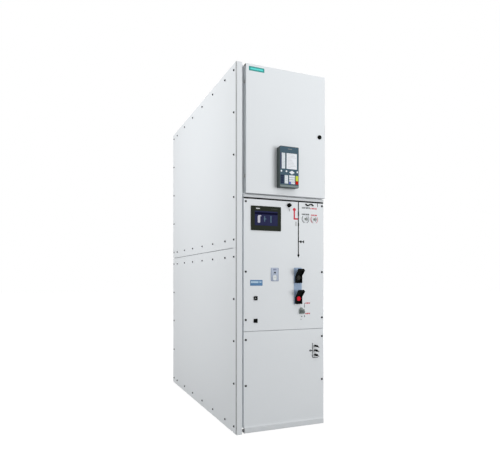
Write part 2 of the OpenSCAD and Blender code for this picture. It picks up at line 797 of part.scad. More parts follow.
// Low voltage door with the relay's opening and notches for the hinge arms
module lv_door() color(paint) difference() {
    place(door_x, 0, door_z) folded_cover(door_w, door_h, door_d, lip);
    face_cut(
        relay_x + relay_w / 2, 0, relay_z + relay_h / 2, relay_w - 2 * cut_margin, relay_h - 2 * cut_margin
    );
    round_face_cut(lock_x, 0, lock_z, lock_d - 2 * lock_rim);
    for (z = [door_z + hinge_inset, height - hinge_inset])
        place(door_x - eps, hinge_y - arm_w, z - 2 * arm_t - eps)
            cube([hinge_x + arm_w / 2 + 5 * eps, door_d, 4 * arm_t + 2 * eps]);
}

module door_lock() color(black) place(lock_x, 0, lock_z) facing_front() {
    translate([0, 0, -lock_t]) cylinder(d = lock_d, h = lock_t);
    translate([0, 0, -eps]) cylinder(d = lock_d - 2 * lock_rim - 2 * seat, h = door_d - 2 * sheet);
}

// Hinge arms that stand on the corner post's flange, each with its pin
module hinge_brackets() color("silver") for (z = [door_z + hinge_inset, height - hinge_inset]) {
    place(hinge_axis_x - arm_w / 2, hinge_y, z - arm_t / 2) cube([arm_w, frame_y - hinge_y, arm_t]);
    place(hinge_axis_x, hinge_y, z - arm_t / 2) cylinder(d = arm_w, h = arm_t);
    place(hinge_axis_x, hinge_y, z - 2 * arm_t) cylinder(d = hinge_pin_d, h = 4 * arm_t);
}

// Hinge lugs on the back of the door's face, two for each pin
module hinge_lugs() color("silver") for (z = [door_z + hinge_inset, height - hinge_inset], side = [-1, 1])
    place(hinge_axis_x, hinge_y, z + side * (arm_t + lug_gap) - arm_t / 2) difference() {
        union() {
            cylinder(d = arm_w, h = arm_t);
            translate([sheet + seat - hinge_x, sheet - hinge_y, 0])
                cube([arm_w / 2 + hinge_x - sheet - seat, hinge_y - sheet, arm_t]);
        }
        translate([0, 0, -eps]) cylinder(d = hinge_pin_d + 2 * pin_clear, h = arm_t + 2 * eps);
    }

// Moves from the relay's lower left corner on the door's face, d in front of that face
module on_relay(x, z, d) place(relay_x + x, -d, relay_z + z) children();

// Relay front: a housing with a wider moulded bezel, recessed for its display and two label strips
module relay_front() color(slate) difference() {
    on_relay(relay_w / 2, relay_h / 2, 0) {
        step = 2 * bezel_step;
        front_plate(relay_w - step, relay_h - step, relay_proud - bezel_t / 2, relay_r - bezel_step);
        translate([0, bezel_t - relay_proud, 0]) soft_block(relay_w, relay_h, bezel_t, relay_r, bezel_edge);
    }
    on_relay(display_x, display_z, relay_proud - display_recess)
        front_plate(display_w, display_h, relay_proud, display_t);
    on_relay(lamp_strip_x, display_z, relay_proud - strip_recess)
        front_plate(lamp_strip_w, display_h, relay_proud, display_t);
    on_relay(function_strip_x, number_keys_z, relay_proud - strip_recess)
        front_plate(function_strip_w, number_keys_h, relay_proud, display_t);
}

module relay_case() color(black) on_relay(relay_w / 2, relay_h / 2, -relay_case_d) front_plate(
    relay_w - 2 * cut_margin - 2 * seat, relay_h - 2 * cut_margin - 2 * seat, relay_case_d, moulded_r
);

module relay_display() color("aliceblue")
    on_relay(display_x, display_z, relay_proud - display_recess)
        front_plate(display_w - 2 * seat, display_h - 2 * seat, display_t, display_t);

// Number keys, function keys, command keys, round keys and the arrow pad on the relay's face
module relay_keys() color("white") {
    for (row = [0:3]) {
        for (column = [0:2])
            on_relay(key_x + column * key_pitch_x, key_z + row * key_pitch_z, relay_proud)
                front_plate(key_w, key_w, key_h, soft_edge);
        on_relay(function_key_x, key_z + row * key_pitch_z, relay_proud)
            front_plate(function_key_w, key_w, key_h, soft_edge);
    }
    on_relay(command_x, number_keys_z + (number_keys_h - command_on_h) / 2, relay_proud)
        front_plate(command_w, command_on_h, key_h, soft_edge);
    on_relay(command_x, number_keys_z - (number_keys_h - command_off_h) / 2 - key_h, relay_proud)
        front_plate(command_w, command_off_h, key_h, soft_edge);
    for (x = [round_key_d, function_strip_x, relay_w - round_key_d])
        on_relay(x, round_key_z, relay_proud) facing_front()
            translate([0, 0, -key_h]) cylinder(d = round_key_d, h = key_h);
    on_relay(display_x, arrow_pad_z, relay_proud) rotate([90, 0, 0]) linear_extrude(key_h) polygon([
        [-arrow_pad_w / 2, 0], [0, -arrow_pad_h / 2], [arrow_pad_w / 2, 0], [0, arrow_pad_h / 2]
    ]);
}

base_rail_front();
base_rail_rear();
base_rail_left();
base_rail_right();
floor_plate();
end_post();
front_post_right();
joint_rails();
side_panel_left_lower();
side_panel_left_upper();
side_panel_right_lower();
side_panel_right_upper();
rear_panel_lower();
rear_panel_upper();
roof_panel();
lv_floor();
lv_back();
lv_wall_left();
lv_wall_right();
mid_rail();
operating_panel();
lower_cover();
touch_panel();
touch_screen();
selector_base();
selector_knob();
gate_lever();
shaft_cover_left();
shaft_cover_right();
drive_plate();
panel_latch_upper();
panel_latch_lower();
key_interlock();
button_plate();
on_button_guard();
off_button_guard();
on_button();
off_button();
test_sockets();
lv_door();
door_lock();
hinge_brackets();
hinge_lugs();
relay_front();
relay_case();
relay_display();
relay_keys();
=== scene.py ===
import math

import bmesh
import bpy
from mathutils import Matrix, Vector


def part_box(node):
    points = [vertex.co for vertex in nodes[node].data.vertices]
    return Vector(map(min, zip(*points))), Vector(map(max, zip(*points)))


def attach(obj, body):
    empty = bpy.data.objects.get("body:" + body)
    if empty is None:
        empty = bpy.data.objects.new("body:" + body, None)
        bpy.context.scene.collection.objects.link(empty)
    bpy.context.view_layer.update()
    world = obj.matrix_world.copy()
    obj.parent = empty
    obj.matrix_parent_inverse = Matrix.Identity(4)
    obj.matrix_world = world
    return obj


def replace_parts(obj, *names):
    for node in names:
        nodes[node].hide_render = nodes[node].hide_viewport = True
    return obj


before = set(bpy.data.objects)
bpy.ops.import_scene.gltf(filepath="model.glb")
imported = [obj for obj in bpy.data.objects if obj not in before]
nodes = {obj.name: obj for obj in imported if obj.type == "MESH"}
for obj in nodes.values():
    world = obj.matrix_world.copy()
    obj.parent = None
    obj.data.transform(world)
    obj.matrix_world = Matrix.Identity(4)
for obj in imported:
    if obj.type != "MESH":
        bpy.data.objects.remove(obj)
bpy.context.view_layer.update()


# Housing: posts, rails, folded covers and the door, all of sheet steel with rounded folds.
# They hang in a powder coat line after folding, so one light grey satin coat with a faint
# orange-peel grain covers them, a little thinner along the folded edges and lighter there as a painted
# highlight.
def put(tree, kind, sockets=None, **settings):
    """Adds a shader node. A socket takes a plain value or another node's output."""
    made = tree.nodes.new(kind)
    for key, value in settings.items():
        setattr(made, key, value)
    for key, value in (sockets or {}).items():
        if isinstance(value, bpy.types.NodeSocket):
            tree.links.new(value, made.inputs[key])
        else:
            made.inputs[key].default_value = value
    return made


def math_node(tree, operation, first, second):
    return put(tree, "ShaderNodeMath", {0: first, 1: second}, operation=operation).outputs[0]


def effect(name, inputs, outputs):
    """Starts a node group with named sockets and returns it with its input and output sockets."""
    tree = bpy.data.node_groups.new(name, "ShaderNodeTree")
    kinds = {"colour": "NodeSocketColor", "value": "NodeSocketFloat", "vector": "NodeSocketVector"}
    for label, kind in inputs.items():
        tree.interface.new_socket(label, in_out="INPUT", socket_type=kinds[kind])
    for label, kind in outputs.items():
        tree.interface.new_socket(label, in_out="OUTPUT", socket_type=kinds[kind])
    return tree, tree.nodes.new("NodeGroupInput").outputs, tree.nodes.new("NodeGroupOutput").inputs


# Grain: broad patches vary the colour, fine noise varies the gloss and the height.
grain, given, result = effect(
    "Surface grain",
    {"Colour": "colour", "Spread": "value", "Patch Scale": "value", "Grain Scale": "value",
     "Roughness": "value", "Gloss Spread": "value"},
    {"Colour": "colour", "Roughness": "value", "Height": "value"},
)
spot = put(grain, "ShaderNodeTexCoord").outputs["Object"]
patches = put(grain, "ShaderNodeTexNoise", {"Vector": spot, "Scale": given["Patch Scale"], "Detail": 3.0})
fine = put(grain, "ShaderNodeTexNoise", {"Vector": spot, "Scale": given["Grain Scale"], "Detail": 2.0})
lift = math_node(grain, "SUBTRACT", patches.outputs[0], 0.5)
lift = math_node(grain, "MULTIPLY", lift, given["Spread"])
lift = math_node(grain, "ADD", lift, 1.0)
tinted = put(grain, "ShaderNodeVectorMath", {0: given["Colour"], "Scale": lift}, operation="SCALE")
gloss = math_node(grain, "SUBTRACT", fine.outputs[0], 0.5)
gloss = math_node(grain, "MULTIPLY", gloss, given["Gloss Spread"])
gloss = math_node(grain, "ADD", gloss, given["Roughness"])
grain.links.new(tinted.outputs[0], result["Colour"])
grain.links.new(gloss, result["Roughness"])
grain.links.new(fine.outputs[0], result["Height"])

# Edges: the normal is rounded over, and the colour is lighter where the surface turns sharply: rubbed wear
# and painted highlight.
edges, given, result = effect(
    "Rubbed edges and painted highlight",
    {"Colour": "colour", "Rub And Highlight Colour": "colour", "Radius": "value", "Rub And Highlight": "value"},
    {"Colour": "colour", "Normal": "vector"},
)
rounded = put(edges, "ShaderNodeBevel", {"Radius": given["Radius"]}, samples=4).outputs[0]
flat = put(edges, "ShaderNodeNewGeometry").outputs["Normal"]
turn = put(edges, "ShaderNodeVectorMath", {0: rounded, 1: flat}, operation="DOT_PRODUCT")
rub_and_highlight_mask = math_node(edges, "SUBTRACT", 1.0, turn.outputs["Value"])
rub_and_highlight_mask = math_node(edges, "MULTIPLY", rub_and_highlight_mask, given["Rub And Highlight"])
rub_and_highlight_mask = put(edges, "ShaderNodeClamp", {"Value": rub_and_highlight_mask}).outputs[0]
rubbed_and_highlit = put(edges, "ShaderNodeMix", {0: rub_and_highlight_mask, 6: given["Colour"], 7: given["Rub And Highlight Colour"]},
           data_type="RGBA")
edges.links.new(rubbed_and_highlit.outputs[2], result["Colour"])
edges.links.new(rounded, result["Normal"])


BUMP_DEPTH = 0.0005


def surface(name, colour, roughness, grain_scale, bump, spread=0.04, patch_scale=2.5, gloss_spread=0.12,
            rubbed=None, wear_and_highlight=0.8, edge=0.8, **constants):
    """Material with patchy colour, fine grain in gloss and height, and softened edges; edge is in mm."""
    material = bpy.data.materials.new(name)
    material.use_nodes = True
    tree = material.node_tree
    shader = tree.nodes["Principled BSDF"]
    rubbed = rubbed or [min(1, c * 1.25 + 0.02) for c in colour]
    skin = put(tree, "ShaderNodeGroup", {
        "Colour": (*colour, 1), "Spread": spread, "Patch Scale": patch_scale,
        "Grain Scale": grain_scale, "Roughness": roughness, "Gloss Spread": gloss_spread,
    }, node_tree=grain)
    rubbed_and_highlit = put(tree, "ShaderNodeGroup", {
        "Colour": skin.outputs["Colour"], "Rub And Highlight Colour": (*rubbed, 1), "Radius": edge / 1000, "Rub And Highlight": wear_and_highlight,
    }, node_tree=edges)
    relief = put(tree, "ShaderNodeBump", {
        "Height": skin.outputs["Height"], "Normal": rubbed_and_highlit.outputs["Normal"],
        "Strength": bump, "Distance": BUMP_DEPTH,
    })
    tree.links.new(rubbed_and_highlit.outputs["Colour"], shader.inputs["Base Color"])
    tree.links.new(skin.outputs["Roughness"], shader.inputs["Roughness"])
    tree.links.new(relief.outputs[0], shader.inputs["Normal"])
    for label, value in constants.items():
        shader.inputs[label.replace("_", " ")].default_value = value
    return material


def coat(name, colour, roughness=0.46, spread=0.02, edge=1.2, wear_and_highlight=0.5, **more):
    """Satin powder coat with its orange-peel grain."""
    return surface(name, colour, roughness, 900, 0.12, spread=spread, edge=edge, wear_and_highlight=wear_and_highlight, **more)


def dress(material, *names):
    """Gives CAD nodes a material."""
    for name in names:
        nodes[name].data.materials.clear()
        nodes[name].data.materials.append(material)


powder_coat = coat("Powder coat", (0.716, 0.745, 0.768))
dress(powder_coat, "base_rail_rear", "base_rail_left", "base_rail_right", "front_post_right",
      "side_panel_left_lower", "side_panel_left_upper", "side_panel_right_lower",
      "side_panel_right_upper", "rear_panel_lower", "rear_panel_upper", "roof_panel",
      "operating_panel", "lower_cover", "lv_door", "shaft_cover_left", "shaft_cover_right")
# The plinth's coat is darker as painted shade near the floor, and its bends are pale as a painted
# highlight.
dress(coat("Plinth coat with painted shade and highlight", (0.66, 0.687, 0.707), spread=0.03, edge=6, wear_and_highlight=3,
           rubbed=(0.92, 0.94, 0.955)), "base_rail_front")
# The rail under the door is darker as painted shade from the door's overhang.
dress(coat("Rail coat with painted shade", (0.62, 0.644, 0.664)), "mid_rail")


# Corner post: folded from thicker sheet, its coat a shade darker than the covers'.
# A grey sealing bead lies in its joint with the side sheets; its grey, and its width over the side
# sheet, are painted shade for the shadow in that joint. A folded cap closes the top of the slot beside
# the door, and a filler strip closes the front end of the joint between the side sheets.
def at(x, y, z):
    """Point in the frame, from millimetres right of the left side, behind the post's face and up."""
    return Vector((left + x / 1000, post_face + y / 1000, z / 1000))


def mm(point):
    """The reverse of at: a point in the frame as x, y and z in millimetres."""
    return (point.x - left) * 1000, (point.y - post_face) * 1000, point.z * 1000


def piece(mesh, name, material, body):
    """Turns a mesh into a named piece with that material, riding on a body."""
    bmesh.ops.recalc_face_normals(mesh, faces=mesh.faces)
    data = bpy.data.meshes.new(name)
    mesh.to_mesh(data)
    mesh.free()
    data.shade_smooth()
    data.set_sharp_from_angle(angle=SHARP_FROM)
    data.materials.append(material)
    made = bpy.data.objects.new(name, data)
    bpy.context.scene.collection.objects.link(made)
    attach(made, body)
    return made


def rounded_box(x0, x1, z0, z1, r, steps=5):
    """Outline of a box with round corners, anticlockwise from its lower right corner."""
    corners = ((x1 - r, z0 + r, -90), (x1 - r, z1 - r, 0), (x0 + r, z1 - r, 90), (x0 + r, z0 + r, 180))
    turns = [(x, z, math.radians(start + 90 * i / steps))
             for x, z, start in corners for i in range(steps + 1)]
    return [(x + r * math.cos(a), z + r * math.sin(a)) for x, z, a in turns]


def disc(x, z, r, sides=28):
    return [(x + r * math.cos(a), z + r * math.sin(a))
            for a in (2 * math.pi * i / sides for i in range(sides))]


def close_up(mesh, lower, upper, soft=0.0):
    """Closes two rings of points to a solid, the upper ring's edge rounded over by soft millimetres."""
    mesh.faces.new(lower)
    lid = mesh.faces.new(upper)
    for i in range(len(lower)):
        j = (i + 1) % len(lower)
        mesh.faces.new((lower[i], lower[j], upper[j], upper[i]))
    if soft:
        bmesh.ops.bevel(mesh, geom=list(lid.edges), offset=soft / 1000, segments=3, profile=0.5,
                        affect="EDGES", clamp_overlap=True)


def column(mesh, outline, low, high, soft=0.0):
    """Adds an upright bar to a mesh, its outline drawn in plan as x and y."""
    close_up(mesh, [mesh.verts.new(at(x, y, low)) for x, y in outline],
             [mesh.verts.new(at(x, y, high)) for x, y in outline], soft)


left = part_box("side_panel_left_upper")[0].x
post_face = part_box("end_post")[0].y
cabinet_w = mm(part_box("side_panel_right_upper")[1])[0]
cabinet_d = mm(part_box("rear_panel_upper")[1])[1]
cabinet_h = mm(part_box("roof_panel")[1])[2]
SHARP_FROM = math.radians(35)
POST_W = 41
SLOT_CAP_W = 6
BEAD = [(5.2, 0.8), (4.4, -0.6), (2.7, -1.2), (1.0, -0.7), (0, 0.9), (-0.4, 3), (-0.4, 9), (0.2, 10.5),
        (3, 10.5)]
post_coat = coat("Post coat", (0.705, 0.733, 0.756), 0.48)
dress(post_coat, "end_post")
sealant_and_shade_grey = surface("Grey sealant with painted shade", (0.37, 0.385, 0.39), 0.6, 700, 0.3, wear_and_highlight=0.2, Specular_IOR_Level=0.3)
mesh = bmesh.new()
column(mesh, BEAD, 6, cabinet_h - 1, 0.4)
piece(mesh, "corner_bead", sealant_and_shade_grey, "cabinet")
mesh = bmesh.new()
column(mesh, rounded_box(POST_W, POST_W + SLOT_CAP_W, 9, 35.8, 2), cabinet_h - 24, cabinet_h - 0.5, 1)
piece(mesh, "slot_cap", post_coat, "cabinet")
joint_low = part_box("side_panel_left_lower")[1].z * 1000
joint_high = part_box("side_panel_left_upper")[0].z * 1000
mesh = bmesh.new()
column(mesh, rounded_box(0.1, 2, 6, 44, 0.5), joint_low - 0.1, joint_high + 0.1, 0.2)
piece(mesh, "joint_filler", powder_coat, "cabinet")


# Inner sheets: the floor plate, the rails behind the joints and the lining of the low voltage
# compartment are bare galvanised steel, and so are the relay's case, the hinge arms and lugs.
# Hot dipping leaves a spangle of pale and darker crystals some millimetres across.
zinc = bpy.data.materials.new("Galvanised sheet")
zinc.use_nodes = True
tree = zinc.node_tree
shader = tree.nodes["Principled BSDF"]
spot = put(tree, "ShaderNodeTexCoord").outputs["Object"]
spangle = put(tree, "ShaderNodeTexVoronoi", {"Vector": spot, "Scale": 110.0})
tone = put(tree, "ShaderNodeMapRange", {"Value": spangle.outputs["Color"], "To Min": 0.5, "To Max": 0.72})
cool = put(tree, "ShaderNodeCombineColor", {"Red": tone.outputs[0], "Green": tone.outputs[0],
                                            "Blue": tone.outputs[0]})
sheen = put(tree, "ShaderNodeMapRange", {"Value": spangle.outputs["Color"], "To Min": 0.38, "To Max": 0.55})
ripple = put(tree, "ShaderNodeTexNoise", {"Vector": spot, "Scale": 60.0, "Detail": 3.0})
relief = put(tree, "ShaderNodeBump", {"Height": ripple.outputs[0], "Strength": 0.1,
                                      "Distance": BUMP_DEPTH})
tree.links.new(cool.outputs[0], shader.inputs["Base Color"])
tree.links.new(sheen.outputs[0], shader.inputs["Roughness"])
tree.links.new(relief.outputs[0], shader.inputs["Normal"])
shader.inputs["Metallic"].default_value = 0.85
dress(zinc, "floor_plate", "joint_rails", "lv_floor", "lv_back", "lv_wall_left", "lv_wall_right",
      "hinge_brackets", "hinge_lugs", "relay_case")


# Cover screws: black zinc plated flange screws with a hexagon socket, driven into rivet nuts
# along the edges of the covers. The unseen right side and back repeat the left side's spacing.
def lathe(mesh, foot, out, profile, sides=24):
    """Adds a turned form to a mesh: rings of radius and height along out, six-sided where marked."""
    across = out.orthogonal().normalized()
    upward = out.cross(across)
    rings = []
    for radius, height, *flats in profile:
        ring = []
        for i in range(sides):
            a = 2 * math.pi * i / sides
            reach = radius / math.cos(a % (math.pi / 3) - math.pi / 6) if flats else radius
            spoke = across * math.cos(a) + upward * math.sin(a)
            ring.append(mesh.verts.new(foot + (out * height + spoke * reach) / 1000))
        rings.append(ring)
    for low, high in zip(rings, rings[1:]):
        for i in range(sides):
            j = (i + 1) % sides
            mesh.faces.new((low[i], low[j], high[j], high[i]))
    mesh.faces.new(rings[0][::-1])
    mesh.faces.new(rings[-1])


def screws(name, spots, out):
    """One piece with a screw head on each spot."""
    mesh = bmesh.new()
    for spot in spots:
        lathe(mesh, spot, out, SCREW)
    piece(mesh, name, screw_steel, "cabinet")


SCREW = [(7.1, 0), (7.1, 1.0), (6.6, 1.4), (5.6, 1.7), (5.5, 4.6), (5.0, 5.4), (3.9, 5.9), (3.0, 6.0),
         (2.5, 5.8, 6), (2.5, 3.4, 6)]
screw_steel = surface("Black zinc steel", (0.017, 0.018, 0.02), 0.5, 1500, 0.2, wear_and_highlight=0.8, edge=0.4,
                      rubbed=(0.07, 0.07, 0.075), Metallic=0.2, Specular_IOR_Level=0.1)
ROWS = {"lower": [46, 1122], "upper": [1232, 2307]}
COLUMN = {"lower": [317, 587, 854], "upper": [1502, 1771, 2039]}
SIDE_Y = [38, 199, 453, 705, 965, 1215, 1467, 1587]
BACK_X = [38, 181, 325, 469, 612]
FRONT_X = [73, 636]
FIRST_RIGHT = 62
FORWARD = Vector((0, -1, 0))
for storey in ("lower", "upper"):
    side = [(y, z) for z in ROWS[storey] for y in SIDE_Y]
    side += [(y, z) for z in COLUMN[storey] for y in (SIDE_Y[0], SIDE_Y[-1])]
    screws("side_screws_left_" + storey, [at(0, y, z) for y, z in side], Vector((-1, 0, 0)))
    right_side = [at(cabinet_w, max(y, FIRST_RIGHT), z) for y, z in side]
    screws("side_screws_right_" + storey, right_side, Vector((1, 0, 0)))
    back = [at(x, cabinet_d, z) for z in ROWS[storey] for x in BACK_X]
    back += [at(x, cabinet_d, z) for z in COLUMN[storey] for x in (BACK_X[0], BACK_X[-1])]
    screws("back_screws_" + storey, back, Vector((0, 1, 0)))
roof = [at(x, y, cabinet_h) for x in (BACK_X[0], BACK_X[-1]) for y in SIDE_Y[1:]]
screws("roof_screws", roof, Vector((0, 0, 1)))
front_y = mm(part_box("operating_panel")[0])[1]
for name, heights in (("panel_screws", (720, 1028, 1477)), ("lower_cover_screws", (300, 593))):
    screws(name, [at(x, front_y, z) for x in FRONT_X for z in heights], FORWARD)


# Front trims: a pressed skirting strip coves the lower cover's foot out to the plinth, and a rubber
# edging pushed onto the operating front's upper edge seals the gap to the rail above it. The edging's
# black, and its lip over the panel's edge, are painted shade that darkens that gap.
def bar_along_x(mesh, profile, x0, x1):
    """Adds a bar across the front to a mesh, its section drawn as y and z."""
    close_up(mesh, [mesh.verts.new(at(x0, y, z)) for y, z in profile],
             [mesh.verts.new(at(x1, y, z)) for y, z in profile])


plinth_low, plinth_high = map(mm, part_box("base_rail_front"))
plinth_y, plinth_z = plinth_low[1], plinth_high[2]
COVE = 18
LIP = 0.7
SET_IN = 0.3
reach = front_y - plinth_y - LIP
arc = [math.radians(15 * i) for i in range(7)]
section = [(plinth_y + reach * math.sin(a), plinth_z + COVE * (1 - math.cos(a))) for a in arc]
section += [(front_y + SET_IN, plinth_z + COVE), (front_y + SET_IN, plinth_z)]
mesh = bmesh.new()
bar_along_x(mesh, section, plinth_low[0] + 1, plinth_high[0] - 1)
piece(mesh, "skirting_cove", powder_coat, "cabinet")
rubber = surface("Black rubber", (0.012, 0.012, 0.013), 0.8, 1200, 0.4, wear_and_highlight=0.2, Specular_IOR_Level=0.1)
rail_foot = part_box("mid_rail")[0].z * 1000
panel_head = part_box("operating_panel")[1].z * 1000
EDGING_T = 0.8
EDGING_DEPTH = 6
OVERLAP = 2.5
# The black edging and its lip over the panel's edge darken the gap under the rail: painted shade.
mesh = bmesh.new()
bar_along_x(mesh, [
    (front_y - EDGING_T, panel_head - OVERLAP), (front_y, panel_head - OVERLAP), (front_y, panel_head),
    (front_y + EDGING_DEPTH, panel_head), (front_y + EDGING_DEPTH, rail_foot), (front_y - 0.2, rail_foot),
    (front_y - EDGING_T, rail_foot - 0.6),
], 62, cabinet_w - 4)
piece(mesh, "panel_seal", rubber, "cabinet")


# Mimic diagram: the single-line picture of the panel's circuit, screen printed on the operating
# front and the lower cover in black, red and grey, with rows of plain bars beside the symbols.
def ribbon(points, width):
    """Outline of a line of that width drawn through the points."""
    one_side, other_side = [], []
    for i, (x, z) in enumerate(points):
        before, after = points[max(i - 1, 0)], points[min(i + 1, len(points) - 1)]
        along = Vector((after[0] - before[0], after[1] - before[1])).normalized() * width / 2
        one_side.append((x + along.y, z - along.x))
        other_side.append((x - along.y, z + along.x))
    return one_side + other_side[::-1]


def bow(x, z, r, start, end, steps=20):
    """Points on an arc, its angles in degrees from +x towards +z."""
    angles = [math.radians(start + (end - start) * i / steps) for i in range(steps + 1)]
    return [(x + r * math.cos(a), z + r * math.sin(a)) for a in angles]


def bars(x0, x1, z0, z1, count):
    """Short plain bars in a row, by turns shorter and longer."""
    step = (x1 - x0) / count
    return [rounded_box(x0 + step * i, x0 + step * (i + 0.62 + 0.2 * (i % 2)), z0, z1, 1)
            for i in range(count)]


def prism(mesh, outline, back, front, soft=0.0):
    """Adds a plate with that outline to a mesh, from depth back to front, its front edge rounded over."""
    close_up(mesh, [mesh.verts.new(at(x, back, z)) for x, z in outline],
             [mesh.verts.new(at(x, front, z)) for x, z in outline], soft)


def printed(name, outlines, ink, y, body="cabinet"):
    """One piece of raised ink on a front face; each shape lies a hair above the one before it."""
    mesh = bmesh.new()
    for i, outline in enumerate(outlines):
        prism(mesh, outline, y, y - INK_T - INK_STEP * i)
    piece(mesh, name, ink, body)


def screen_ink(name, colour, shine=0.2):
    return surface(name, colour, 0.55, 2500, 0.05, wear_and_highlight=0.0, Specular_IOR_Level=shine)


INK_T = 0.2
INK_STEP = 0.02
ink_black = screen_ink("Black ink", (0.008, 0.0085, 0.009))
ink_red = screen_ink("Red ink", (0.56, 0.035, 0.06))
ink_grey = screen_ink("Grey ink", (0.1, 0.108, 0.112))
ink_pale = screen_ink("Pale grey ink", (0.5, 0.515, 0.525), 0.3)
LINE_X = 454
printed("mimic_black", [
    ribbon([(LINE_X, 1149), (LINE_X, 1494)], 7.5),
    rounded_box(LINE_X - 5, LINE_X + 5, 1402, 1432, 1),
    rounded_box(LINE_X - 5, LINE_X + 5, 1333, 1353, 1),
    [(LINE_X, 1124), (LINE_X + 9, 1139), (LINE_X, 1154), (LINE_X - 9, 1139)],
    ribbon([(LINE_X, 1230.5), (466, 1230.5)], 5),
    [(463, 1230.5), (473, 1219.5), (483, 1230.5), (473, 1241.5)],
    [(481, 1230.5), (497, 1220), (497, 1241.5)],
    ribbon([(602, 1470), (602, 1494)], 4),
], ink_black, front_y)
printed("mimic_red", [
    ribbon([(423, 1376), (423, 1440)], 10),
    ribbon([(418, 1381), (450, 1381)], 10),
    disc(423, 1443, 11),
    *bars(546, 598, 1452, 1461, 5),
    *bars(551, 600, 1408, 1417, 5),
    ribbon(bow(576, 1384, 27, -60, 40), 3),
    ribbon(bow(576, 1384, 27, 140, 240), 3),
    *bars(508, 544, 815, 823.5, 4),
    *bars(508, 544, 745, 753.5, 4),
], ink_red, front_y)
printed("mimic_grey", [
    *bars(481, 543, 1453.5, 1463.5, 6),
    *bars(480, 538, 1410, 1420, 6),
    ribbon(bow(508, 1384, 27, -70, 45), 4),
    ribbon(bow(508, 1384, 27, 135, 250), 2.5),
    ribbon([(384, 1448), (387, 1429)], 4),
    ribbon([(501, 789), (501, 821)], 3.5),
    rounded_box(474.5, 483.5, 728, 734, 1.5),
    rounded_box(498.5, 503.5, 726, 738, 1.5),
    rounded_box(471, 477, 709.5, 714, 1.5),
    ribbon([(562, 549)] + bow(570, 457.5, 8, 180, 270, 6) + [(604, 449.5)], 5),
    ribbon([(546, 498.5), (562, 498.5)], 8),
    disc(544, 498.5, 7),
], ink_grey, front_y)
printed("mimic_pale", [
    rounded_box(429, 442, 1333, 1363, 3),
], ink_pale, front_y)


# Touch panel: a moulded dark frame clamped into a cut-out of the operating front, and a glass
# screen set a little below its face. The lit picture is a plain circuit sketch, and two plain
# bars are printed on the frame.
dark_frame = surface("Dark olive moulding", (0.017, 0.021, 0.014), 0.45, 1800, 0.25, wear_and_highlight=0.6,
                     rubbed=(0.035, 0.04, 0.03), Specular_IOR_Level=0.1)
dress(dark_frame, "touch_panel")

# Smudges: large soft clouds that finger marks and dust leave on glass and glossy plastic.
smudge, given, result = effect("Smudges", {"Scale": "value", "Clean": "value", "Smeared": "value"},
                               {"Roughness": "value", "Mask": "value"})
spot = put(smudge, "ShaderNodeTexCoord").outputs["Object"]
clouds = put(smudge, "ShaderNodeTexNoise", {"Vector": spot, "Scale": given["Scale"], "Detail": 4.0,
                                            "Distortion": 0.6})
smear = put(smudge, "ShaderNodeMapRange", {"Value": clouds.outputs[0], "From Min": 0.45, "From Max": 0.7,
                                           "To Min": given["Clean"], "To Max": given["Smeared"]})
smudge.links.new(smear.outputs[0], result["Roughness"])
smudge.links.new(clouds.outputs[0], result["Mask"])


def pad_ink(name, colour, shine=0.5):
    """Pad printing on a moulding or a foil."""
    return surface(name, colour, 0.5, 2000, 0.05, wear_and_highlight=0.0, Specular_IOR_Level=shine)


def lit_glass(name, low, high, glow, shine=0.06):
    """Glass in front of a lit picture: its colour runs from low to high with the clouds."""
    material = bpy.data.materials.new(name)
    material.use_nodes = True
    tree = material.node_tree
    shader = tree.nodes["Principled BSDF"]
    marks = put(tree, "ShaderNodeGroup", {"Scale": 25.0, "Clean": 0.12, "Smeared": 0.3}, node_tree=smudge)
    shade = put(tree, "ShaderNodeValToRGB", {"Fac": marks.outputs["Mask"]})
    shade.color_ramp.elements[0].color = (*low, 1)
    shade.color_ramp.elements[1].color = (*high, 1)
    tree.links.new(shade.outputs[0], shader.inputs["Base Color"])
    tree.links.new(shade.outputs[0], shader.inputs["Emission Color"])
    tree.links.new(marks.outputs["Roughness"], shader.inputs["Roughness"])
    shader.inputs["Emission Strength"].default_value = glow
    shader.inputs["Specular IOR Level"].default_value = shine
    return material


dress(lit_glass("Touch glass", (0.012, 0.014, 0.042), (0.018, 0.019, 0.058), 0.4), "touch_screen")
screen_y = mm(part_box("touch_screen")[0])[1]
touch_y = mm(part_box("touch_panel")[0])[1]
pale_pixels = lit_glass("Pale pixels", (0.34, 0.34, 0.4), (0.42, 0.42, 0.48), 0.35)
printed("touch_breaker", [
    rounded_box(154, 171, 1343, 1388, 6),
    rounded_box(157, 178, 1385, 1392, 2),
], pale_pixels, screen_y)
printed("touch_lines", [
    ribbon([(203, 1352), (203, 1388)], 6),
    rounded_box(198, 208, 1362, 1378, 2),
    ribbon([(248, 1346), (248, 1391)], 8),
    ribbon([(203, 1370), (216, 1370)], 4),
], lit_glass("Teal pixels", (0.045, 0.08, 0.115), (0.06, 0.1, 0.14), 0.5), screen_y)
printed("touch_band", [
    rounded_box(134, 296, 1398, 1411, 1),
], lit_glass("Dark pixels", (0.0005, 0.0005, 0.008), (0.001, 0.001, 0.02), 0.2), screen_y)
printed("touch_name_bar", [rounded_box(141, 169, 1431.5, 1438, 1)],
        pad_ink("Pale print", (0.6, 0.62, 0.62)), touch_y)
printed("touch_type_bar", [rounded_box(249, 295, 1433, 1437, 1)],
        pad_ink("Dim print", (0.05, 0.055, 0.045), 0.2), touch_y)


# Selector and gate lever: black moulded nylon with a fine spark-eroded grain.
# The selector's square grip turns on a stem, and the wavy lever slides the gate of the shafts.
black_moulding = surface("Black moulding", (0.0035, 0.0042, 0.0036), 0.5, 2200, 0.3, wear_and_highlight=0.5,
                         rubbed=(0.012, 0.013, 0.013), Specular_IOR_Level=0.05)
dress(black_moulding, "selector_base", "selector_knob", "gate_lever")


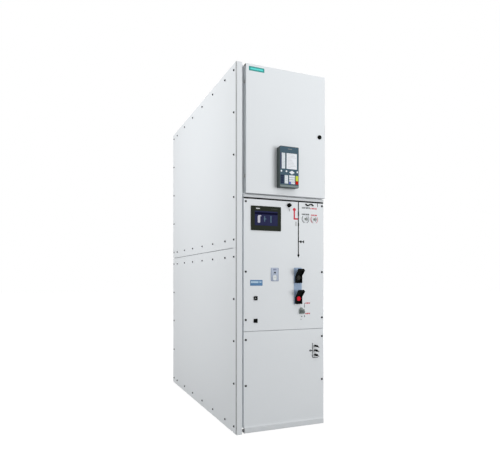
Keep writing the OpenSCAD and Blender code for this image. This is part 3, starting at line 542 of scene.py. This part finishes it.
# Test plugs: three black moulded stoppers in the voltage test sockets, each with a waisted body, a
# thicker ribbed grip and a pull tab that hangs from it at a slant.
PLUG = [(7, 0), (7, 1.6), (5.6, 2.4), (5.5, 16), (7.2, 17.5), (7.4, 19), (6.8, 20), (7.4, 21), (6.8, 22),
        (7.4, 23), (6.8, 24), (7.4, 25), (7.4, 28), (6.6, 29.4), (4.6, 30)]
PLUG_X = 582
PLUG_PITCH = 30.5
PLUG_BELOW_TOP = 8.5
TAB = rounded_box(3, 19, -2.8, 2.8, 2)
TAB_NEAR, TAB_FAR = 24, 27
TAB_SLANT = math.radians(-30)
tab_grey = surface("Dark grey nylon", (0.05, 0.053, 0.053), 0.5, 1800, 0.2, wear_and_highlight=0.5,
                   Specular_IOR_Level=0.2)
top_plug_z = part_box("test_sockets")[1].z * 1000 - PLUG_BELOW_TOP
along, aside = math.cos(TAB_SLANT), math.sin(TAB_SLANT)
mesh, tabs = bmesh.new(), bmesh.new()
for i in range(3):
    z = top_plug_z - PLUG_PITCH * i
    lathe(mesh, at(PLUG_X, front_y, z), FORWARD, PLUG)
    turned = [(PLUG_X + x * along - h * aside, z + x * aside + h * along) for x, h in TAB]
    prism(tabs, turned, front_y - TAB_NEAR, front_y - TAB_FAR, 0.8)
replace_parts(piece(mesh, "test_plugs", black_moulding, "cabinet"), "test_sockets")
piece(tabs, "test_plug_tabs", tab_grey, "cabinet")


# Shaft covers: pressed and painted like the covers, each with a cast grey hexagon on its stud, which
# takes the crank, and printed turning marks on its shutter.
def middle(low, high):
    """Middle of a box on the front as x and z, from its corners in millimetres."""
    return (low[0] + high[0]) / 2, (low[2] + high[2]) / 2


cast_grey = surface("Cast grey metal", (0.24, 0.27, 0.25), 0.45, 900, 0.3, wear_and_highlight=1.0,
                    rubbed=(0.4, 0.42, 0.41), Metallic=0.2, Specular_IOR_Level=0.3)
HEXAGON = [(8, 0, 6), (8, 1.6, 6), (7.2, 2.4, 6), (3.4, 2.4), (3.2, 1.2)]
for side in ("left", "right"):
    low, high = map(mm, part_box("shaft_cover_" + side))
    x, z = middle(low, high)
    rim_y = low[1]
    mesh = bmesh.new()
    lathe(mesh, at(x, rim_y, z), FORWARD, HEXAGON)
    piece(mesh, "shaft_end_" + side, cast_grey, "cabinet")
    shutter_y = (rim_y + front_y) / 2
    marks = [ribbon([(x + 7, z + 13), (x + 16, z), (x + 7, z - 13)], 4)]
    printed("shaft_mark_" + side, marks, ink_grey, shutter_y)


# Drive plate: a blue-grey enamelled plate screwed on over the spring drive, with a socket for the
# crank, a window on the spring indicator and a bare label above them.
def shifted(outline, x, z):
    """An outline drawn about its own origin, moved to x and z."""
    return [(x + right, z + up) for right, up in outline]


dress(surface("Blue-grey enamel", (0.43, 0.49, 0.6), 0.45, 1400, 0.08, wear_and_highlight=0.3), "drive_plate")
plate_low, plate_high = map(mm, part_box("drive_plate"))
drive_x, drive_z = middle(plate_low, plate_high)[0], plate_low[2]
DRIVE_T = 2
PANE_T = 1
LABEL_RISE = 0.6
CRANK_SOCKET = [(8, 0), (8, 0.7), (7.4, 1.1), (3.4, 1.1, 6), (3.4, 0.2, 6)]
CRANK_Z = 55
BORDER = [[(-26, 2), (-26, 86)], [(26, 2), (26, 86)], [(-26, 2), (26, 2)]]
plate_y = front_y - DRIVE_T
white_pane = lit_glass("White pane", (0.66, 0.7, 0.71), (0.72, 0.75, 0.77), 0.0, 0.3)
slate_label = surface("Slate label", (0.24, 0.27, 0.38), 0.5, 1500, 0.05, wear_and_highlight=0.0)
mesh = bmesh.new()
prism(mesh, shifted(rounded_box(-13.7, 13.7, 6.3, 39.7, 9), drive_x, drive_z), plate_y, plate_y - PANE_T)
piece(mesh, "drive_window", white_pane, "cabinet")
printed("drive_indicator", [shifted(ribbon([(-6, 22), (0, 27), (6, 22)], 3), drive_x, drive_z)],
        ink_pale, plate_y - PANE_T)
mesh = bmesh.new()
lathe(mesh, at(drive_x, plate_y, drive_z + CRANK_Z), FORWARD, CRANK_SOCKET)
piece(mesh, "drive_crank_socket", black_moulding, "cabinet")
mesh = bmesh.new()
prism(mesh, shifted(rounded_box(-12, 12, 71, 81, 1.5), drive_x, drive_z),
      plate_y, plate_y - LABEL_RISE, 0.2)
piece(mesh, "drive_label", slate_label, "cabinet")
printed("drive_border", [shifted(ribbon(line, 3), drive_x, drive_z) for line in BORDER],
        slate_label, plate_y)


# Panel latches: quarter-turn locks of black moulded nylon, pushed through the operating front and
# held by a nut behind it. The upper one's key pin is bare zinc, the lower one's is black.
cast_metal = surface("Cast zinc", (0.5, 0.52, 0.53), 0.42, 900, 0.2, wear_and_highlight=0.6, Metallic=0.5)
dress(black_moulding, "panel_latch_upper", "panel_latch_lower")
INSERT_DEPTH = 1.5
PIN = rounded_box(-7.5, 2, -1.8, 1.8, 1.7)
for storey, metal in (("upper", cast_metal), ("lower", black_moulding)):
    low, high = map(mm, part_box("panel_latch_" + storey))
    insert_y = low[1] + INSERT_DEPTH
    mesh = bmesh.new()
    prism(mesh, shifted(PIN, *middle(low, high)), insert_y + 0.5, insert_y - 1.2, 0.5)
    piece(mesh, "latch_pin_" + storey, metal, "cabinet")


# Key interlock: a cast zinc lock with its key in it, screwed to the operating front and dulled
# to a dark grey-green by its passivation. Its edges are a little brighter, from handling and as a painted
# highlight, and its pressed dust cap, which turns on a rivet, is swung up out of the key's way.
lock_metal = surface("Passivated zinc", (0.24, 0.272, 0.262), 0.42, 900, 0.25, wear_and_highlight=1.0,
                     rubbed=(0.3, 0.32, 0.31), Metallic=0.25, Specular_IOR_Level=0.3)
dress(lock_metal, "key_interlock")
CAP_X, CAP_Z, CAP_R = 475.5, 782, 9.3
CAP_BACK, CAP_FACE = 4, 7
RIVET_Z = 777
RIVET = [(2.2, 0), (2.1, 0.5), (1.5, 1.0), (0.6, 1.2)]
mesh = bmesh.new()
prism(mesh, disc(CAP_X, CAP_Z, CAP_R), front_y - CAP_BACK, front_y - CAP_FACE, 0.8)
lathe(mesh, at(CAP_X, front_y - CAP_FACE, RIVET_Z), FORWARD, RIVET, 16)
piece(mesh, "lock_dust_cap", lock_metal, "cabinet")


# Push buttons: two mechanical buttons in black moulded hoods on a common blue-grey plate.
# The OFF button is a glossy red moulding, the ON button a dark grey one.
dress(surface("Button plate enamel", (0.3, 0.4, 0.55), 0.45, 1400, 0.08, wear_and_highlight=0.3), "button_plate")
dress(black_moulding, "on_button_guard", "off_button_guard")
dress(surface("Dark grey moulding", (0.024, 0.025, 0.021), 0.45, 1800, 0.2, wear_and_highlight=0.4,
              rubbed=(0.05, 0.052, 0.048), Specular_IOR_Level=0.2), "on_button")
dress(surface("Red moulding", (0.81, 0.013, 0.034), 0.35, 1800, 0.08, wear_and_highlight=0.3,
              rubbed=(0.8, 0.04, 0.06), Specular_IOR_Level=0.2), "off_button")


# Label plates: thin enamelled plates glued on. A blue one with pale fields sits on the operating
# front, and a teal one with a plain pale bar on the door.
def enamel(name, colour, wear_and_highlight):
    return surface(name, colour, 0.4, 1500, 0.05, wear_and_highlight=wear_and_highlight)


LABEL_T = 1
DOOR_Y = 0
mesh = bmesh.new()
prism(mesh, rounded_box(103, 190, 938, 975, 2), front_y, front_y - LABEL_T, 0.4)
piece(mesh, "blue_label", enamel("Blue enamel", (0.075, 0.19, 0.36), 0.3), "cabinet")
printed("blue_label_fields", [rounded_box(107, 158, 955, 967, 1.5), *bars(162, 184, 956, 967, 2)],
        enamel("Pale blue enamel", (0.4, 0.55, 0.68), 0.0), front_y - LABEL_T)
mesh = bmesh.new()
prism(mesh, rounded_box(87, 194, 2306, 2333, 1.5), DOOR_Y, DOOR_Y - LABEL_T, 0.4)
piece(mesh, "door_badge", enamel("Teal enamel", (0.02, 0.27, 0.25), 0.3), "door")
printed("door_badge_bar", [rounded_box(97, 184, 2314, 2324.5, 1.5)],
        enamel("Pale teal enamel", (0.1, 0.66, 0.62), 0.0), DOOR_Y - LABEL_T, "door")


# Door fittings: a black quarter-turn lock, a moulded cap on the hinge edge's upper corner, and a
# foam rubber strip glued to the lips on the door's back, which the frame's flanges press when shut.
dress(black_moulding, "door_lock")
LOCK_INSERT = [(9, 0), (9, 0.5), (8.4, 0.9), (6, 0.9), (5.6, 0.2)]
lock_low, lock_high = map(mm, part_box("door_lock"))
lock_x, lock_z = middle(lock_low, lock_high)
mesh = bmesh.new()
lathe(mesh, at(lock_x, lock_low[1], lock_z), FORWARD, LOCK_INSERT)
piece(mesh, "lock_insert", black_moulding, "door")
door_low, door_high = map(mm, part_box("lv_door"))
door_x, door_back = door_low[0], door_high[1]
mesh = bmesh.new()
column(mesh, rounded_box(door_x - 2.4, door_x, 4, 20, 1), cabinet_h - 14, cabinet_h - 4, 0.8)
piece(mesh, "hinge_edge_cap", black_moulding, "door")
SEAL_PROFILE = ((0, 0), (0.6, 6.4), (2, 7.4), (5, 7.4), (6.4, 6.4), (7, 0))
SEAL_SIDE, SEAL_FOOT, SEAL_HEAD, SEAL_R = 17, 16, 24, 10
mesh = bmesh.new()
loops = []
for inset, depth in SEAL_PROFILE:
    outline = rounded_box(door_x + SEAL_SIDE + inset, door_high[0] - SEAL_SIDE - inset,
                          door_low[2] + SEAL_FOOT + inset, door_high[2] - SEAL_HEAD - inset, SEAL_R - inset)
    loops.append([mesh.verts.new(at(x, door_back + depth, z)) for x, z in outline])
for i, loop in enumerate(loops):
    other = loops[(i + 1) % len(loops)]
    for j in range(len(loop)):
        k = (j + 1) % len(loop)
        mesh.faces.new((loop[j], other[j], other[k], loop[k]))
piece(mesh, "door_gasket", rubber, "door")


# Protection relay: a dark grey moulded housing clamped into the door, its front covered by a slate
# foil with cut-outs for the pale display and two label strips. The keys are moulded rubber domes
# under the foil, and a row of smoked lenses covers the signal lamps.
relay_x, relay_y, relay_z = mm(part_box("relay_front")[0])
FOIL_T = 0.25
foil_y = relay_y - FOIL_T
dress(surface("Grey-green moulding", (0.066, 0.084, 0.085), 0.48, 1800, 0.2, wear_and_highlight=0.4,
              rubbed=(0.13, 0.155, 0.155), Specular_IOR_Level=0.2), "relay_front")
dress(lit_glass("Display glass", (0.63, 0.655, 0.7), (0.7, 0.72, 0.76), 0.15, 0.2), "relay_display")
pane_y = mm(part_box("relay_display")[0])[1]


def on_relay(outlines):
    """Outlines drawn from the housing's lower left corner, moved to their place."""
    return [shifted(outline, relay_x, relay_z) for outline in outlines]


def foil(mesh, outline, holes, back, front):
    """Adds a thin sheet with holes to a mesh."""
    rims = []
    for ring in [outline] + holes:
        spots = [mesh.verts.new(at(x, front, z)) for x, z in ring]
        rims += [mesh.edges.new((spots[i - 1], spots[i])) for i in range(len(spots))]
    bmesh.ops.triangle_fill(mesh, use_beauty=True, edges=rims)
    grown = bmesh.ops.extrude_face_region(mesh, geom=mesh.faces[:], use_keep_orig=True)["geom"]
    bmesh.ops.translate(mesh, vec=Vector((0, (back - front) / 1000, 0)),
                        verts=[v for v in grown if isinstance(v, bmesh.types.BMVert)])


WINDOWS = {"display": (50, 126, 120, 222), "lamps": (15, 40, 120, 222), "functions": (36, 61, 25, 78.9)}
mesh = bmesh.new()
openings = [rounded_box(*window, 1.5) for window in WINDOWS.values()]
outline, *holes = on_relay([rounded_box(3.5, 136.5, 17, 262, 5)] + openings)
foil(mesh, outline, holes, relay_y, foil_y)
slate_foil = surface("Slate foil", (0.062, 0.107, 0.142), 0.45, 2000, 0.1, wear_and_highlight=0.0,
                     Specular_IOR_Level=0.1)
piece(mesh, "relay_foil", slate_foil, "door")
printed("relay_lip", on_relay([rounded_box(3.5, 136.5, 3, 15.5, 3)]),
        surface("Grey-green foil", (0.2, 0.244, 0.244), 0.45, 2000, 0.1, wear_and_highlight=0.0, Specular_IOR_Level=0.2),
        relay_y, "door")


def keys(name, outlines, material):
    """Rubber keys on the relay's face with rounded tops."""
    mesh = bmesh.new()
    for outline in on_relay(outlines):
        prism(mesh, outline, relay_y, relay_y - KEY_RISE, 0.7)
    return piece(mesh, name, material, "door")


def key_rubber(name, colour, shine=0.2, wear_and_highlight=0.2):
    return surface(name, colour, 0.5, 2000, 0.1, wear_and_highlight=wear_and_highlight, Specular_IOR_Level=shine)


KEY_RISE = 2
KEY = 6.3
KEY_COLUMN, KEY_ROW = 14, 14.3
key_spots = [(74.5 + KEY_COLUMN * i, 30.5 + KEY_ROW * j) for j in range(4) for i in range(3)]
key_boxes = [rounded_box(x - KEY, x + KEY, z - KEY, z + KEY, 1.5) for x, z in key_spots]
rounds = [disc(x, 103.5, 6) for x in (12, 48.5, 128)]
pad = [[(68, 98), (88, 85.5), (108, 98), (88, 110.5)]]
pale_rubber = key_rubber("Pale rubber", (0.75, 0.79, 0.83), 0.5)
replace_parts(keys("relay_keys_pale", key_boxes[1:] + rounds + pad, pale_rubber), "relay_keys")
keys("relay_key_violet", key_boxes[:1], key_rubber("Violet rubber", (0.13, 0.16, 0.5)))
keys("relay_key_on", [rounded_box(115.5, 134.5, 45.5, 78.5, 1.5)],
     key_rubber("Lime rubber", (0.54, 0.62, 0.06)))
keys("relay_key_off", [rounded_box(115.5, 134.5, 22.9, 43.9, 1.5)],
     key_rubber("Red rubber", (0.5, 0.012, 0.003), 0.15))
keys("relay_function_keys", [rounded_box(7.5, 29.5, z - KEY, z + KEY, 1.5) for x, z in key_spots[::3]],
     key_rubber("Navy rubber", (0.02, 0.03, 0.065), 0.1, 0.3))
paper = surface("Label strip", (0.695, 0.75, 0.793), 0.6, 1500, 0.05, wear_and_highlight=0.0)
STRIP_T = 0.4
STRIP_GAP = 0.3
RECESS = 0.8
recess_y = relay_y + RECESS
mesh = bmesh.new()
for x0, x1, z0, z1 in (WINDOWS["lamps"], WINDOWS["functions"]):
    strip = rounded_box(x0 + STRIP_GAP, x1 - STRIP_GAP, z0 + STRIP_GAP, z1 - STRIP_GAP, 1.2)
    prism(mesh, on_relay([strip])[0], recess_y, recess_y - STRIP_T)
piece(mesh, "relay_label_strips", paper, "door")
LAMPS = 13
LAMP_ROW = 7.2
strip_bars = [rounded_box(20, 29 + 4 * (i % 3), 128 + LAMP_ROW * i, 130 + LAMP_ROW * i, 0.8)
              for i in range(LAMPS)]
strip_bars += [rounded_box(40, 51 + 3 * (i % 2), 29 + KEY_ROW * i, 31.5 + KEY_ROW * i, 0.8)
               for i in range(4)]
printed("relay_strip_bars", on_relay(strip_bars), ink_pale, recess_y - STRIP_T, "door")
DISPLAY_ROW = 9.2
rows = [rounded_box(57, 84 + 7 * ((i * 5) % 6), 129 + DISPLAY_ROW * i, 131 + DISPLAY_ROW * i, 0.8)
        for i in range(10)]
printed("relay_display_rows", on_relay(rows), ink_pale, pane_y, "door")
lens_field = surface("Violet print", (0.06, 0.065, 0.13), 0.45, 2000, 0.05, wear_and_highlight=0.0,
                     Specular_IOR_Level=0.1)
printed("relay_lamp_field", on_relay([rounded_box(5.5, 13.5, 122, 221, 1.5)]), lens_field, foil_y,
        "door")
LENS = [(1.7, 0), (1.7, 0.2), (1.3, 0.6), (0.6, 0.8)]
LENS_X, LENS_Z = 9.5, 129
lens_glass = lit_glass("Smoked lens", (0.02, 0.022, 0.05), (0.035, 0.035, 0.08), 0.1, 0.3)
mesh = bmesh.new()
for i in range(LAMPS):
    foot = at(relay_x + LENS_X, foil_y - INK_T, relay_z + LENS_Z + LAMP_ROW * i)
    lathe(mesh, foot, FORWARD, LENS, 12)
piece(mesh, "relay_lamp_lenses", lens_glass, "door")
printed("relay_name_bar", on_relay([rounded_box(59, 89, 246.5, 251, 1)]),
        pad_ink("Grey print", (0.2, 0.22, 0.22)), foil_y, "door")
printed("relay_divider", on_relay([ribbon([(45, 121), (45, 221)], 1.6)]),
        pad_ink("Grey line", (0.16, 0.16, 0.15)), foil_y, "door")


# Studio: a pale floor, a soft lamp with a grid before the front on the right, turned up to the door,
# one above, one beside the end wall, one behind, and an even white surround. The camera stands at the
# photograph's place, level, with its lens shifted to frame the cabinet.
def ray_mask(tree):
    """1 for rays that see the backdrop: from the camera, in mirrors and through glass."""
    path = put(tree, "ShaderNodeLightPath").outputs
    seen = math_node(tree, "ADD", path["Is Camera Ray"], path["Is Glossy Ray"])
    seen = math_node(tree, "ADD", seen, path["Is Transmission Ray"])
    return put(tree, "ShaderNodeClamp", {"Value": seen}).outputs[0]


def matt(tree, grey):
    return put(tree, "ShaderNodeBsdfDiffuse", {"Color": (grey, grey, grey, 1)}).outputs[0]


studio_floor = bpy.data.materials.new("Studio floor")
studio_floor.use_nodes = True
tree = studio_floor.node_tree
tree.nodes.remove(tree.nodes["Principled BSDF"])
spot = put(tree, "ShaderNodeTexCoord").outputs["Object"]
away = put(tree, "ShaderNodeVectorMath", {0: spot}, operation="LENGTH").outputs["Value"]
far = put(tree, "ShaderNodeMapRange", {"Value": away, "From Min": 1.5, "From Max": 4.0,
                                       "To Min": 0.84, "To Max": 1.0})
glow = put(tree, "ShaderNodeEmission", {"Strength": far.outputs[0]})
seen = put(tree, "ShaderNodeAddShader", {0: matt(tree, 0.25), 1: glow.outputs[0]})
choice = put(tree, "ShaderNodeMixShader", {0: ray_mask(tree), 1: matt(tree, 0.5), 2: seen.outputs[0]})
tree.links.new(choice.outputs[0], tree.nodes["Material Output"].inputs["Surface"])
mesh = bmesh.new()
bmesh.ops.create_grid(mesh, x_segments=2, y_segments=2, size=30)
data = bpy.data.meshes.new("studio_floor")
mesh.to_mesh(data)
mesh.free()
data.materials.append(studio_floor)
floor = bpy.data.objects.new("studio_floor", data)
bpy.context.scene.collection.objects.link(floor)

world = bpy.data.worlds.new("Surround")
bpy.context.scene.world = world
world.use_nodes = True
tree = world.node_tree
backdrop = tree.nodes["Background"]
strength = put(tree, "ShaderNodeMapRange", {"Value": ray_mask(tree), "To Min": 0.4, "To Max": 1.0})
backdrop.inputs["Color"].default_value = (1, 1, 1, 1)
tree.links.new(strength.outputs[0], backdrop.inputs["Strength"])


def lamp(name, spot, aim, size, power, spread=180):
    """A soft lamp, kept out of reflections so that no gloss turns white; its grid sets the spread."""
    light = bpy.data.lights.new(name, "AREA")
    light.shape = "RECTANGLE"
    light.size, light.size_y = size
    light.energy = power
    light.spread = math.radians(spread)
    made = bpy.data.objects.new(name, light)
    made.location = spot
    made.rotation_euler = (Vector(aim) - Vector(spot)).to_track_quat("-Z", "Y").to_euler()
    made.visible_glossy = False
    bpy.context.scene.collection.objects.link(made)


lamp("front_lamp", (2.4, -5.0, 1.8), (-0.2, -0.8, 3.0), (2.8, 2.8), 77, 120)
lamp("top_lamp", (0.2, -2.9, 4.6), (0, -0.9, 0.1), (2.5, 1.5), 30)
lamp("side_lamp", (-2.6, 0.0, 2.6), (-0.3, -0.1, 2.6), (2.0, 3.0), 56)
lamp("back_lamp", (1.8, 4.6, 3.4), (0.1, 0.8, 1.4), (3, 3), 110)

camera = bpy.data.objects.new("camera", bpy.data.cameras.new("camera"))
camera.location = (-1.3921, -3.4653, 0.9799)
camera.rotation_euler = (math.radians(90), 0, math.radians(-21.669))
camera.data.sensor_width = 36
camera.data.lens = 33.07
camera.data.shift_x = 0.0287
camera.data.shift_y = 0.0924
bpy.context.scene.collection.objects.link(camera)
bpy.context.scene.camera = camera
bpy.context.scene.view_settings.view_transform = "Standard"
